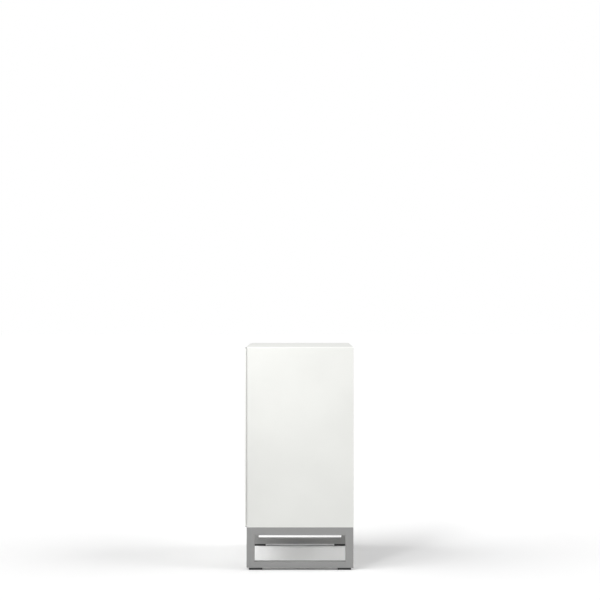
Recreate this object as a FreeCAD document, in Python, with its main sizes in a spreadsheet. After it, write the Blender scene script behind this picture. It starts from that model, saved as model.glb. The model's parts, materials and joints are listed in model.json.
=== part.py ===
import FreeCAD, Part
import Sketcher
import math
import os
import re

# A small under-worktop fridge on a sled stand.
# The door is at the front (-Y) and its hinge is at the right (+X).
# Origin: centre of the footprint, on the floor. All sizes are in millimetres.

os.makedirs("parts", exist_ok=True)
doc = FreeCAD.newDocument("MiniFridge")

# ---------------------------------------------------------------- driving sizes
SIZES = {
    # whole object
    "total_height": 850, "case_width": 450, "case_depth": 407, "stand_height": 162.5,
    # stand
    "stand_depth": 408, "stand_back_inset": 0.8, "tube_width": 30, "tube_thick": 28,
    "foot_rail": 23, "glide_length": 51, "glide_width": 24, "glide_height": 8,
    "glide_inset": 9, "beam_size": 22, "beam_drop": 3, "beam_inset": 60,
    "bolt_head_radius": 5.5, "bolt_head": 4, "frame_bolt_inset": 22,
    "screw_radius": 2, "screw_head_radius": 4, "screw_head": 2.5,
    # casing
    "sheet": 1, "base_sheet": 1.2, "bend_radius": 3, "lip": 16, "rebate_depth": 38,
    "trim_wall": 2, "wall": 38, "liner_wall": 1.5, "back_recess": 22, "back_foam": 34,
    "machine_depth": 170, "machine_height": 190,
    # door
    "door_thick": 7, "door_gap": 1.5, "reveal_top": 3, "reveal_bottom": 5,
    "door_edge_radius": 1.5, "plug_clearance": 3, "plug_depth": 25.7, "plug_wall": 2,
    "seal_width": 16, "seal_clearance": 0.3, "magnet_width": 6, "magnet_cover": 1,
    "magnet_thick": 3, "grip_width": 30, "grip_height": 150, "grip_depth": 22,
    "grip_wall": 1.5, "grip_edge": 26, "grip_rise": 330,
    # hinges
    "pivot_inset": 4, "pin_radius": 2, "pin_end_gap": 1, "pin_clearance": 0.04,
    "bush_radius": 2.75, "bush_length": 12, "bracket_thick": 1.6, "bracket_width": 22, "bracket_depth": 30,
    "bracket_play": 0.3, "bracket_set_back": 0.8, "notch_play": 0.1,
    # door bins
    "bin_side_gap": 18, "bin_depth": 68, "bin_wall": 2, "bin_corner": 8, "bin_height": 52,
    "low_bin_height": 78, "low_bin_rise": 22, "mid_bin_rise": 205, "top_bin_rise": 360,
    # ice box and its flap
    "ice_side_gap": 22, "ice_height": 110, "ice_depth": 190, "ice_wall": 1.5,
    "ice_drop": 8, "ice_back_gap": 8, "flap_thick": 5, "flap_height": 90,
    "flap_gap": 2, "flap_side_gap": 6, "flap_drop": 6, "flap_pin_radius": 1.5,
    "ear_thick": 3, "ear_height": 14, "ear_front": 2, "hanger_width": 12,
    "hanger_length": 20, "hanger_inset": 20,
    # drip tray
    "tray_gap": 8, "tray_height": 16, "tray_wall": 1.5, "tray_inset": 4, "runner": 10,
    "runner_drop": 3,
    # shelves
    "glass_thick": 4, "shelf_side_gap": 3, "shelf_front_inset": 62, "shelf_back_gap": 4,
    "shelf_trim": 12, "trim_lap": 2, "trim_nose": 3, "trim_under": 4, "trim_over": 2,
    "low_shelf_gap": 16.5, "high_shelf_drop": 40, "ledge_width": 9,
    "ledge_height": 8, "ledge_front": 6,
    # thermostat and lamp
    "stat_width": 44, "stat_height": 62, "stat_depth": 96, "stat_wall": 2,
    "stat_front": 96, "stat_gap": 9.5, "knob_radius": 15, "knob_depth": 13,
    "knob_gap": 0.5, "shaft_radius": 3, "shaft_length": 22, "lens_height": 18,
    "lens_depth": 60, "lens_front": 18, "lens_thick": 3, "led_thick": 1.6, "led_side": 6,
    "led_front": 24, "led_depth": 46, "led_lift": 6, "switch_width": 22, "switch_height": 26,
    "switch_depth": 29.5, "switch_gap": 0.5,
    # cooling machine
    "plate_thick": 2, "plate_depth": 136, "plate_inset": 8, "plate_left": 125,
    "plate_gap": 31, "comp_radius": 58, "comp_height": 128,
    "comp_round": 34, "comp_x": -20, "foot_spread": 100,
    "foot_depth": 100, "foot_thick": 3, "foot_rim": 12, "grommet_radius": 10,
    "grommet_height": 12, "relay_width": 34, "relay_height": 62, "relay_depth": 50,
    "relay_gap": 1, "relay_rise": 30, "pipe_radius": 3.2, "pipe_bend": 14, "port_side": 20,
    "port_rise": 70, "port_reach": 40, "suction_rise": 90, "suction_reach": 70,
    "discharge_drop": 22, "drier_radius": 8, "drier_length": 90, "drier_drop": 20,
    "drier_side_gap": 14, "liquid_radius": 2, "liquid_bend": 7, "capillary_radius": 1.2,
    "capillary_drop": 18, "capillary_inset": 40, "coil_radius": 2.5,
    "coil_side_gap": 34, "coil_pitch": 44, "coil_head": 40, "coil_rise": 40, "coil_offset": 11,
    "wire_radius": 0.9, "wire_pitch": 19, "clip_size": 12, "pan_wall": 2,
    "pan_height": 16, "pan_width": 104, "pan_depth": 96, "drain_radius": 6,
    "drain_wall": 1.5, "drain_gap": 1, "drain_side": 20,
    "inlet_width": 28, "inlet_height": 20, "inlet_depth": 24, "inlet_rise": 30,
    "inlet_inset": 75, "inlet_wall": 2, "inlet_floor": 4, "inlet_post": 2, "inlet_foot": 20,
    "pin_wide": 2, "pin_high": 4, "pin_side": 7, "pin_rise": 5, "pin_step": 6,
    "inlet_pin_back": 8,
    # how far a cutting shape passes the faces it cuts
    "over": 1,
}

# Places that follow from the driving sizes.
PLACES = {
    "half_w": "case_width / 2",
    "front": "-(case_depth + door_gap + door_thick) / 2",
    "door_back": "front + door_thick",
    "case_front": "door_back + door_gap",
    "case_back": "case_front + case_depth",
    "inner_w": "half_w - sheet",
    "case_low": "stand_height",
    "in_low": "case_low + base_sheet",
    "in_top": "total_height - sheet",
    # stand
    "stand_back": "case_back - stand_back_inset",
    "stand_front": "stand_back - stand_depth",
    "beam_top": "stand_height - beam_drop",
    # rebate that takes the door's plug
    "rebate_w": "half_w - lip",
    "rebate_low": "case_low + lip",
    "rebate_top": "total_height - lip",
    "rebate_back": "case_front + rebate_depth",
    "liner_front": "rebate_back + trim_wall",
    # cold space
    "room_w": "half_w - wall",
    "room_low": "case_low + wall",
    "room_top": "total_height - wall",
    "panel_back": "case_back - back_recess",
    "foam_back": "panel_back - sheet",
    "room_back": "foam_back - back_foam - liner_wall",
    # machine space under the back of the cold space
    "machine_front": "case_back - machine_depth",
    "machine_top": "case_low + machine_height",
    "step_front": "machine_front - sheet - back_foam - liner_wall",
    "step_top": "machine_top + sheet + back_foam + liner_wall",
    # door
    "door_low": "case_low + reveal_bottom",
    "door_top": "total_height - reveal_top",
    "plug_w": "rebate_w - plug_clearance",
    "plug_low": "rebate_low + plug_clearance",
    "plug_top": "rebate_top - plug_clearance",
    "plug_back": "case_front + plug_depth",
    "seal_back": "rebate_back - seal_clearance",
    "seal_front": "plug_back",
    "grip_left": "-half_w + grip_edge",
    "grip_right": "grip_left + grip_width",
    "grip_low": "case_low + grip_rise",
    "grip_top": "grip_low + grip_height",
    "grip_back": "front + grip_depth",
    "bin_w": "room_w - bin_side_gap",
    # hinge
    "pivot_x": "half_w - pivot_inset",
    "pivot_y": "front + door_thick / 2",
    "bracket_left": "inner_w - bracket_width",
    "bracket_back": "case_front + bracket_depth",
    "top_plate_high": "in_top",
    "top_plate_low": "in_top - bracket_thick",
    "low_plate_low": "in_low",
    "low_plate_high": "in_low + bracket_thick",
    # ice box
    "ice_w": "room_w - ice_side_gap",
    "ice_top": "room_top - ice_drop",
    "ice_low": "ice_top - ice_height",
    "ice_back": "room_back - ice_back_gap",
    "ice_front": "ice_back - ice_depth",
    "flap_back": "ice_front - flap_gap",
    "flap_front": "flap_back - flap_thick",
    "flap_w": "ice_w - flap_side_gap",
    "flap_top": "ice_top - flap_drop",
    "flap_low": "flap_top - flap_height",
    "flap_pin_y": "flap_back - flap_thick / 2",
    "flap_pin_z": "flap_top - flap_thick / 2",
    # drip tray
    "tray_top": "ice_low - tray_gap",
    "tray_low": "tray_top - tray_height",
    "tray_w": "ice_w - tray_inset",
    # shelves
    "shelf_w": "room_w - shelf_side_gap",
    "shelf_front": "liner_front + shelf_front_inset",
    "shelf_back": "room_back - shelf_back_gap",
    "low_shelf": "step_top + low_shelf_gap",
    # thermostat
    "stat_x": "room_w - stat_width",
    "stat_y": "liner_front + stat_front",
    "stat_z": "tray_low - runner_drop - stat_gap - stat_height",
    "high_shelf": "stat_z - high_shelf_drop",
    "knob_x": "room_w - stat_width / 2",
    "knob_z": "stat_z + stat_height / 2 + lens_height / 2",
    # machine
    "plate_low": "in_low",
    "plate_high": "in_low + plate_thick",
    "comp_y": "case_back - plate_inset - plate_depth / 2",
    "comp_low": "plate_high + grommet_height",
    "comp_top": "comp_low + foot_thick + comp_height",
    "coil_y": "panel_back + coil_offset",
    "coil_w": "inner_w - coil_side_gap",
    "coil_low": "machine_top + coil_rise",
    "coil_space": "in_top - coil_low - coil_head",
    "coil_rows": "2 * floor((coil_space / coil_pitch + 1) / 2)",
    "coil_high": "coil_low + (coil_rows - 1) * coil_pitch",
    "inlet_x": "half_w - inlet_inset",
    "drier_x": "inner_w - drier_side_gap",
    "drier_low": "machine_top - drier_drop - drier_length",
    "inlet_z": "in_low + inlet_rise",
}

sizes = doc.addObject("Spreadsheet::Sheet", "Sizes")
for line, (alias, number) in enumerate(SIZES.items(), start=1):
    sizes.set(f"A{line}", alias)
    sizes.set(f"B{line}", str(number))
    sizes.setAlias(f"B{line}", alias)
doc.recompute()


def formula(text):
    """Put the sheet's name before each alias, so that text becomes an expression."""
    def with_sheet(match):
        word = match.group(0)
        if word in SIZES:
            return "Sizes." + word
        if word in PLACES:
            return "Places." + word
        return word
    return re.sub(r"[a-z_]+[a-z0-9_]*", with_sheet, str(text))


places = doc.addObject("Spreadsheet::Sheet", "Places")
for line, (alias, rule) in enumerate(PLACES.items(), start=1):
    text = formula(rule).replace("Places.", "")
    places.set(f"A{line}", alias)
    places.set(f"B{line}", "=" + text)
    places.setAlias(f"B{line}", alias)
doc.recompute()


def value(text):
    """The present number of a formula, for the few pieces made by Part's functions."""
    known = {alias: float(sizes.get(alias)) for alias in SIZES}
    known.update({alias: float(places.get(alias)) for alias in PLACES})
    total = 0.0
    for sign, word in re.findall(r"([+-]?)\s*([a-z_0-9.]+)", text):
        amount = known[word] if word in known else float(word)
        total += -amount if sign == "-" else amount
    return total


# ---------------------------------------------------------------- helpers
nodes = []


def node(label, piece):
    """Name a finished piece and put it on the list of files to write."""
    piece.Label = label
    nodes.append(piece)
    return piece


def bind(item, name, text):
    item.setExpression(name, formula(text))


def block(name, x, y, z):
    """A box between two formulas along each axis."""
    box = doc.addObject("Part::Box", name)
    for side, along, (low, high) in (("Length", "x", x), ("Width", "y", y), ("Height", "z", z)):
        bind(box, side, f"({high}) - ({low})")
        bind(box, "Placement.Base." + along, low)
    return box


def rod(name, x, y, z, radius, length, axis="Z"):
    """A round bar that starts at a point and runs along +axis."""
    bar = doc.addObject("Part::Cylinder", name)
    bind(bar, "Radius", radius)
    bind(bar, "Height", length)
    turns = {"X": (FreeCAD.Vector(0, 1, 0), 90), "Y": (FreeCAD.Vector(1, 0, 0), -90),
             "Z": (FreeCAD.Vector(0, 0, 1), 0)}
    bar.Placement.Rotation = FreeCAD.Rotation(*turns[axis])
    for along, place in (("x", x), ("y", y), ("z", z)):
        bind(bar, "Placement.Base." + along, place)
    return bar


def group(name, pieces):
    """Separate solids that share one node."""
    together = doc.addObject("Part::Compound", name)
    together.Links = pieces
    return together


def fuse(name, pieces):
    joined = doc.addObject("Part::MultiFuse", name)
    joined.Shapes = pieces
    joined.Refine = True
    return joined


def cut(name, base, tool):
    less = doc.addObject("Part::Cut", name)
    less.Base = base
    less.Tool = tool
    less.Refine = True
    return less


PLANES = {"X": "YZ_Plane", "Y": "XZ_Plane", "Z": "XY_Plane"}


def sketch_on(body, axis, low, high):
    """A sketch across axis, placed so that a pad runs from low to high."""
    sketch = body.newObject("Sketcher::SketchObject", "outline")
    role = PLANES[axis]
    plane = [item for item in body.Origin.OriginFeatures if item.Role == role][0]
    sketch.AttachmentSupport = [(plane, "")]
    sketch.MapMode = "FlatFace"
    start = f"-({high})" if axis == "Y" else low
    bind(sketch, "AttachmentOffset.Base.z", start)
    return sketch


def tie(sketch, kind, part, spot, text, guess):
    """Hold one coordinate of a sketch point to a formula."""
    row = sketch.addConstraint(Sketcher.Constraint(kind, -1, 1, part, spot, guess))
    sketch.setExpression(f"Constraints[{row}]", formula(text))


def rectangle(sketch, u, v):
    """Four lines between two formulas along each sketch axis."""
    corners = [(u[0], v[0]), (u[1], v[0]), (u[1], v[1]), (u[0], v[1])]
    guess = [(0, 0), (1, 0), (1, 1), (0, 1)]
    first = sketch.GeometryCount
    for here in range(4):
        ends = [FreeCAD.Vector(*guess[here], 0), FreeCAD.Vector(*guess[(here + 1) % 4], 0)]
        sketch.addGeometry(Part.LineSegment(*ends), False)
    for here in range(4):
        after = first + (here + 1) % 4
        sketch.addConstraint(Sketcher.Constraint("Coincident", first + here, 2, after, 1))
    for here, (across, up) in enumerate(corners):
        tie(sketch, "DistanceX", first + here, 1, across, guess[here][0])
        tie(sketch, "DistanceY", first + here, 1, up, guess[here][1])


def circle(sketch, u, v, radius):
    centre = FreeCAD.Vector(1, 1, 0)
    hoop = sketch.GeometryCount
    sketch.addGeometry(Part.Circle(centre, FreeCAD.Vector(0, 0, 1), 1), False)
    row = sketch.addConstraint(Sketcher.Constraint("Radius", hoop, 1.0))
    sketch.setExpression(f"Constraints[{row}]", formula(radius))
    tie(sketch, "DistanceX", hoop, 3, u, 1)
    tie(sketch, "DistanceY", hoop, 3, v, 1)


def draw(sketch, outlines):
    for outline in outlines:
        if len(outline) == 2:
            rectangle(sketch, *outline)
        else:
            circle(sketch, *outline)


def body(label, axis, outlines, low, high, shared=False):
    """A padded body. An outline is two ranges, or a centre and a radius.

    A shared body is part of a node that holds several alike."""
    made = doc.addObject("PartDesign::Body", label)
    if not shared:
        node(label, made)
    sketch = sketch_on(made, axis, low, high)
    draw(sketch, outlines)
    pad = made.newObject("PartDesign::Pad", "pad")
    pad.Profile = sketch
    bind(pad, "Length", f"({high}) - ({low})")
    return made


def pocket(made, axis, outlines, low, high):
    """Cut a pocket from low to high along axis."""
    sketch = sketch_on(made, axis, low, high)
    draw(sketch, outlines)
    hollow = made.newObject("PartDesign::Pocket", "pocket")
    hollow.Profile = sketch
    hollow.Reversed = True
    bind(hollow, "Length", f"({high}) - ({low})")


def round_edges(made, choose, radius):
    """Round the edges of a body that choose picks."""
    doc.recompute()
    last = made.Tip
    picked = [f"Edge{i}" for i, edge in enumerate(last.Shape.Edges, start=1) if choose(edge)]
    feature = made.newObject("PartDesign::Fillet", "edge")
    feature.Base = (last, picked)
    bind(feature, "Radius", radius)


def runs_along(edge, axis):
    """True for a straight edge parallel to an axis."""
    if edge.Curve.TypeId != "Part::GeomLine":
        return False
    direction = edge.Curve.Direction
    return abs(getattr(direction, axis.lower())) > 0.999


def bent_tube(label, points, radius, bend, shared=False):
    """A round tube: straight runs joined by tangent arcs of one bend radius."""
    spots = [FreeCAD.Vector(*point) for point in points]
    edges = []
    last = spots[0]
    for before, corner, after in zip(spots, spots[1:], spots[2:]):
        come = (corner - before).normalize()
        leave = (after - corner).normalize()
        turn = come.getAngle(leave)
        reach = bend * math.tan(turn / 2)
        start = corner - come * reach
        end = corner + leave * reach
        inward = (leave - come).normalize()
        middle = corner + inward * (bend / math.cos(turn / 2) - bend)
        if (start - last).Length > 0.001:
            edges.append(Part.LineSegment(last, start).toShape())
        edges.append(Part.Arc(start, middle, end).toShape())
        last = end
    edges.append(Part.LineSegment(last, spots[-1]).toShape())
    path = Part.Wire(edges)
    hoop = Part.Circle(spots[0], spots[1] - spots[0], radius).toShape()
    tube = path.makePipeShell([Part.Wire([hoop])], True, False)
    made = doc.addObject("Part::Feature", label)
    if not shared:
        node(label, made)
    made.Shape = tube
    return made


# ---------------------------------------------------------------- stand
def stand_loop(label, low, high):
    """One welded loop of flat tube, from front to back."""
    outer = (("stand_front", "stand_back"), ("glide_height", "stand_height"))
    inner = (("stand_front + tube_width", "stand_back - tube_width"),
             ("glide_height + foot_rail", "stand_height - tube_width"))
    return body(label, "X", [outer, inner], low, high)


stand_loop("stand_loop_left", "-half_w", "-half_w + tube_thick")
stand_loop("stand_loop_right", "half_w - tube_thick", "half_w")

BEAM_X = ("-half_w + tube_thick", "half_w - tube_thick")
BEAM_Z = ("beam_top - beam_size", "beam_top")
FRONT_BEAM_Y = "stand_front + beam_inset"
BACK_BEAM_Y = "stand_back - beam_inset - beam_size"
node("cross_beam_front", block("beam", BEAM_X, (FRONT_BEAM_Y, FRONT_BEAM_Y + " + beam_size"), BEAM_Z))
node("cross_beam_back", block("beam", BEAM_X, (BACK_BEAM_Y, BACK_BEAM_Y + " + beam_size"), BEAM_Z))

LOOP_X = ("-half_w + tube_thick / 2", "half_w - tube_thick / 2")
GLIDE_Y = ("stand_front + glide_inset", "stand_back - glide_inset - glide_length")
glides = []
glide_screws = []
for x in LOOP_X:
    for y in GLIDE_Y:
        across = (x + " - glide_width / 2", x + " + glide_width / 2")
        glide = body("glide", "Z", [(across, (y, y + " + glide_length"))],
                     "0", "glide_height", shared=True)
        glides.append(glide)
        centre = (x, y + " + glide_length / 2")
        pocket(glide, "Z", [(*centre, "screw_head_radius")], "0", "glide_height / 2")
        pocket(glide, "Z", [(*centre, "screw_radius")], "0", "glide_height")
        head = rod("head", *centre, "glide_height / 2 - screw_head", "screw_head_radius", "screw_head")
        shank = rod("shank", *centre, "glide_height / 2", "screw_radius", "glide_height / 2")
        glide_screws.append(fuse("glide_screw", [head, shank]))
node("glides", group("all_glides", glides))
node("glide_screws", group("screws", glide_screws))

frame_bolts = []
for x in ("-half_w + tube_thick + frame_bolt_inset", "half_w - tube_thick - frame_bolt_inset"):
    for y in (FRONT_BEAM_Y + " + beam_size / 2", BACK_BEAM_Y + " + beam_size / 2"):
        frame_bolts.append(rod("bolt_head", x, y, "beam_top - beam_size - bolt_head",
                               "bolt_head_radius", "bolt_head"))
        frame_bolts.append(rod("spacer", x, y, "beam_top", "bolt_head_radius", "beam_drop"))
node("frame_bolts_and_spacers", group("bolts", frame_bolts))

# ---------------------------------------------------------------- casing
# One U-shaped sheet: both sides and the top, with bent upper corners.
wrapper = body("outer_wrapper", "Y",
               [(("-half_w", "half_w"), ("case_low", "total_height"))], "case_front", "case_back")
round_edges(wrapper, lambda edge: runs_along(edge, "Y") and edge.CenterOfMass.z > value("half_w"),
            "bend_radius")
pocket(wrapper, "Y", [(("-inner_w", "inner_w"), ("case_low - over", "in_top"))],
       "case_front - over", "case_back + over")

node("base_panel", block("base", ("-inner_w", "inner_w"), ("case_front", "case_back"),
                         ("case_low", "in_low")))
node("back_panel", block("back", ("-inner_w", "inner_w"), ("foam_back", "panel_back"),
                         ("machine_top + sheet", "in_top")))
node("machine_housing", fuse("housing", [
    block("housing_top", ("-inner_w", "inner_w"), ("machine_front - sheet", "panel_back"),
          ("machine_top", "machine_top + sheet")),
    block("housing_front", ("-inner_w", "inner_w"), ("machine_front - sheet", "machine_front"),
          ("in_low", "machine_top + sheet"))]))


def ring(name, outer_x, outer_z, inner_x, inner_z, low, high):
    """A rectangular ring about the Y axis, as four bars that meet."""
    y = (low, high)
    return fuse(name, [
        block("bar", (outer_x[0], inner_x[0]), y, outer_z),
        block("bar", (inner_x[1], outer_x[1]), y, outer_z),
        block("bar", (inner_x[0], inner_x[1]), y, (outer_z[0], inner_z[0])),
        block("bar", (inner_x[0], inner_x[1]), y, (inner_z[1], outer_z[1]))])


REBATE_X = ("-rebate_w", "rebate_w")
REBATE_Z = ("rebate_low", "rebate_top")
ROOM_X = ("-room_w", "room_w")
ROOM_Z = ("room_low", "room_top")
FACE_Z = ("in_low", "in_top")
SLEEVE_X = ("-rebate_w - trim_wall", "rebate_w + trim_wall")
SLEEVE_Z = ("rebate_low - trim_wall", "rebate_top + trim_wall")
surround = fuse("surround", [
    ring("face", ("-inner_w", "inner_w"), FACE_Z, REBATE_X, REBATE_Z,
         "case_front", "case_front + trim_wall"),
    ring("sleeve", SLEEVE_X, SLEEVE_Z, REBATE_X, REBATE_Z, "case_front", "rebate_back"),
    ring("seat", SLEEVE_X, SLEEVE_Z, ROOM_X, ROOM_Z, "rebate_back", "liner_front")])
NOTCH_X = ("bracket_left - bracket_play", "inner_w + over")
NOTCH_Y = ("case_front - over", "case_front + trim_wall + over")
node("door_surround", cut("notched_surround", surround, group("notches", [
    block("notch", NOTCH_X, NOTCH_Y, ("top_plate_low - notch_play", "in_top + over")),
    block("notch", NOTCH_X, NOTCH_Y, ("in_low - over", "low_plate_high + notch_play"))])))

SHELL_X = ("-room_w - liner_wall", "room_w + liner_wall")
node("cabinet_liner", cut(
    "liner",
    fuse("liner_outside", [
        block("front_part", SHELL_X, ("liner_front", "step_front + liner_wall"),
              ("room_low - liner_wall", "room_top + liner_wall")),
        block("upper_part", SHELL_X, ("liner_front", "room_back + liner_wall"),
              ("step_top - liner_wall", "room_top + liner_wall"))]),
    fuse("liner_inside", [
        block("front_room", ROOM_X, ("liner_front - over", "step_front"), ROOM_Z),
        block("upper_room", ROOM_X, ("liner_front - over", "room_back"), ("step_top", "room_top"))])))

SIDE_FOAM = ("room_w + liner_wall", "inner_w")
LEFT_FOAM = ("-inner_w", "-room_w - liner_wall")
MIDDLE = ("-room_w - liner_wall", "room_w + liner_wall")
UPPER = ("machine_top + sheet", "in_top")
LOWER = ("in_low", "machine_top + sheet")
RIM_Y = ("case_front + trim_wall", "liner_front")
BRACKET_FOAM_Y = "bracket_back + bracket_play"
INNER_X = "bracket_left - bracket_play"
foam = []
for x in (SIDE_FOAM, LEFT_FOAM):
    foam.append(block("foam_side", x, ("liner_front", "foam_back"), UPPER))
    foam.append(block("foam_side_low", x, ("liner_front", "machine_front - sheet"), LOWER))
foam += [
    block("foam_top", MIDDLE, ("liner_front", "foam_back"), ("room_top + liner_wall", "in_top")),
    block("foam_floor", MIDDLE, ("liner_front", "machine_front - sheet"),
          ("in_low", "room_low - liner_wall")),
    block("foam_back", MIDDLE, ("room_back + liner_wall", "foam_back"),
          ("machine_top + sheet", "room_top + liner_wall")),
    block("foam_over_machine", MIDDLE, ("step_front + liner_wall", "room_back + liner_wall"),
          ("machine_top + sheet", "step_top - liner_wall")),
    block("foam_before_machine", MIDDLE, ("step_front + liner_wall", "machine_front - sheet"),
          ("room_low - liner_wall", "machine_top + sheet")),
    block("foam_rim_left", ("-inner_w", "-rebate_w - trim_wall"), RIM_Y, ("in_low", "in_top")),
    block("foam_rim_right", ("rebate_w + trim_wall", "inner_w"), RIM_Y,
          ("low_plate_high", "top_plate_low")),
    block("foam_rim_top", ("-rebate_w - trim_wall", INNER_X), RIM_Y,
          ("rebate_top + trim_wall", "in_top")),
    block("foam_rim_low", ("-rebate_w - trim_wall", INNER_X), RIM_Y,
          ("in_low", "rebate_low - trim_wall"))]
node("cabinet_foam", group("foam", foam))

# ---------------------------------------------------------------- door
panel = body("door_panel", "Z", [(("-half_w", "half_w"), ("front", "door_back"))],
             "door_low", "door_top")
round_edges(panel, lambda edge: runs_along(edge, "Z"), "door_edge_radius")
pocket(panel, "Y", [(("grip_left", "grip_right"), ("grip_low", "grip_top"))],
       "front - over", "door_back + over")
pocket(panel, "Z", [("pivot_x", "pivot_y", "bush_radius")], "door_top - bush_length", "door_top + over")
pocket(panel, "Z", [("pivot_x", "pivot_y", "bush_radius")], "door_low - over", "door_low + bush_length")

PLUG_X = ("-plug_w", "plug_w")
PLUG_Z = ("plug_low", "plug_top")
CORE_X = ("-plug_w + plug_wall", "plug_w - plug_wall")
CORE_Z = ("plug_low + plug_wall", "plug_top - plug_wall")
CORE_Y = ("door_back", "plug_back - plug_wall")
node("door_liner", cut("plug", block("plug_skin", PLUG_X, ("door_back", "plug_back"), PLUG_Z),
                       block("plug_space", CORE_X, ("door_back - over", CORE_Y[1]), CORE_Z)))
GRIP_X = ("grip_left", "grip_right")
GRIP_Z = ("grip_low", "grip_top")
node("door_foam", group("core", [
    block("core_left", (CORE_X[0], GRIP_X[0]), CORE_Y, CORE_Z),
    block("core_right", (GRIP_X[1], CORE_X[1]), CORE_Y, CORE_Z),
    block("core_above", GRIP_X, CORE_Y, (GRIP_Z[1], CORE_Z[1])),
    block("core_below", GRIP_X, CORE_Y, (CORE_Z[0], GRIP_Z[0])),
    block("core_behind", GRIP_X, ("grip_back", CORE_Y[1]), GRIP_Z)]))
grip = body("grip_cup", "Y", [(GRIP_X, GRIP_Z)], "front", "grip_back")
pocket(grip, "Y", [(("grip_left + grip_wall", "grip_right - grip_wall"),
                    ("grip_low + grip_wall", "grip_top - grip_wall"))],
       "front - over", "grip_back - grip_wall")

SEAL_X = ("-plug_w + seal_width", "plug_w - seal_width")
SEAL_Z = ("plug_low + seal_width", "plug_top - seal_width")
seal_ring = ring("seal", PLUG_X, PLUG_Z, SEAL_X, SEAL_Z, "seal_front", "seal_back")
MAGNET_EDGE = "(seal_width - magnet_width) / 2"
MAGNET_Y = ("seal_back - magnet_cover - magnet_thick", "seal_back - magnet_cover")
MAGNET_OUT = ((f"-plug_w + {MAGNET_EDGE}", f"plug_w - {MAGNET_EDGE}"),
              (f"plug_low + {MAGNET_EDGE}", f"plug_top - {MAGNET_EDGE}"))
MAGNET_IN = (("-plug_w + seal_width - " + MAGNET_EDGE, "plug_w - seal_width + " + MAGNET_EDGE),
             ("plug_low + seal_width - " + MAGNET_EDGE, "plug_top - seal_width + " + MAGNET_EDGE))
node("door_gasket", cut("gasket", seal_ring,
                        ring("channel", *MAGNET_OUT, *MAGNET_IN, *MAGNET_Y)))
node("gasket_magnets", ring("magnets", *MAGNET_OUT, *MAGNET_IN, *MAGNET_Y))

BIN_X = ("-bin_w", "bin_w")
BINS = {"door_bin_low": ("low_bin_rise", "low_bin_height"),
        "door_bin_middle": ("mid_bin_rise", "bin_height"),
        "door_bin_top": ("top_bin_rise", "bin_height")}
for label, (rise, height) in BINS.items():
    low = "room_low + " + rise
    top = f"{low} + {height}"
    door_bin = body(label, "Z", [(BIN_X, ("plug_back", "plug_back + bin_depth"))], low, top)
    round_edges(door_bin, lambda edge: runs_along(edge, "Z"), "bin_corner")
    pocket(door_bin, "Z", [(("-bin_w + bin_wall", "bin_w - bin_wall"),
                            ("plug_back + bin_wall", "plug_back + bin_depth - bin_wall"))],
           low + " + bin_wall", top + " + over")

# ---------------------------------------------------------------- hinges
BRACKET_X = ("bracket_left", "inner_w")
BRACKET_Y = ("front + bracket_set_back", "bracket_back")
PIVOT = ("pivot_x", "pivot_y")
for label, low, high in (("hinge_bracket_top", "top_plate_low", "top_plate_high"),
                         ("hinge_bracket_bottom", "low_plate_low", "low_plate_high")):
    body(label, "Z", [(BRACKET_X, BRACKET_Y), (*PIVOT, "pin_radius")], low, high)
node("hinge_pins", group("pins", [
    rod("pin", *PIVOT, "door_top - bush_length + pin_end_gap", "pin_radius",
        "top_plate_high - door_top + bush_length - pin_end_gap"),
    rod("pin", *PIVOT, "low_plate_low", "pin_radius",
        "door_low + bush_length - low_plate_low - pin_end_gap")]))
node("hinge_bushes", group("bushes", [
    body("bush", "Z", [(*PIVOT, "bush_radius"), (*PIVOT, "pin_radius + pin_clearance")],
         low, high, shared=True)
    for low, high in (("door_top - bush_length", "door_top"), ("door_low", "door_low + bush_length"))]))

# ---------------------------------------------------------------- ice box
ICE_X = ("-ice_w", "ice_w")
ICE_Z = ("ice_low", "ice_top")
sleeve = body("ice_box", "Y", [(ICE_X, ICE_Z)], "ice_front", "ice_back")
pocket(sleeve, "Y", [(("-ice_w + ice_wall", "ice_w - ice_wall"),
                      ("ice_low + ice_wall", "ice_top - ice_wall"))],
       "ice_front - over", "ice_back - ice_wall")
EARS = (("-ice_w", "-ice_w + ear_thick"), ("ice_w - ear_thick", "ice_w"))
node("flap_ears", group("ears", [
    cut("ear", block("ear_plate", x, ("flap_front - ear_front", "ice_front"),
                           ("ice_top - ear_height", "ice_top")),
        rod("ear_hole", x[0] + " - over", "flap_pin_y", "flap_pin_z", "flap_pin_radius + pin_clearance",
            "ear_thick + 2 * over", "X")) for x in EARS]))
FLAP_X = ("-flap_w", "flap_w")
body("ice_box_flap", "X", [(("flap_front", "flap_back"), ("flap_low", "flap_top"))], *FLAP_X)
PIN_IN = "flap_side_gap"
node("flap_pins", group("pins", [
    rod("pin", "-flap_w - " + PIN_IN, "flap_pin_y", "flap_pin_z", "flap_pin_radius", PIN_IN, "X"),
    rod("pin", "flap_w", "flap_pin_y", "flap_pin_z", "flap_pin_radius", PIN_IN, "X")]))
node("ice_box_hangers", group("hangers", [
    block("hanger", (x, x + " + hanger_width"), (y, y + " + hanger_length"), ("ice_top", "room_top"))
    for x in ("-ice_w + hanger_inset", "ice_w - hanger_inset - hanger_width")
    for y in ("ice_front + hanger_inset", "ice_back - hanger_inset - hanger_length")]))

tray = body("drip_tray", "Z", [(("-tray_w", "tray_w"), ("ice_front", "ice_back"))],
            "tray_low", "tray_top")
pocket(tray, "Z", [(("-tray_w + tray_wall", "tray_w - tray_wall"),
                    ("ice_front + tray_wall", "ice_back - tray_wall"))],
       "tray_low + tray_wall", "tray_top + over")
RUNNER_Z = ("tray_low - runner_drop", "tray_low")
ledges = [
    block("runner", ("-room_w", "-tray_w + runner"), ("ice_front", "ice_back"), RUNNER_Z),
    block("runner", ("tray_w - runner", "room_w"), ("ice_front", "ice_back"), RUNNER_Z)]

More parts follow.
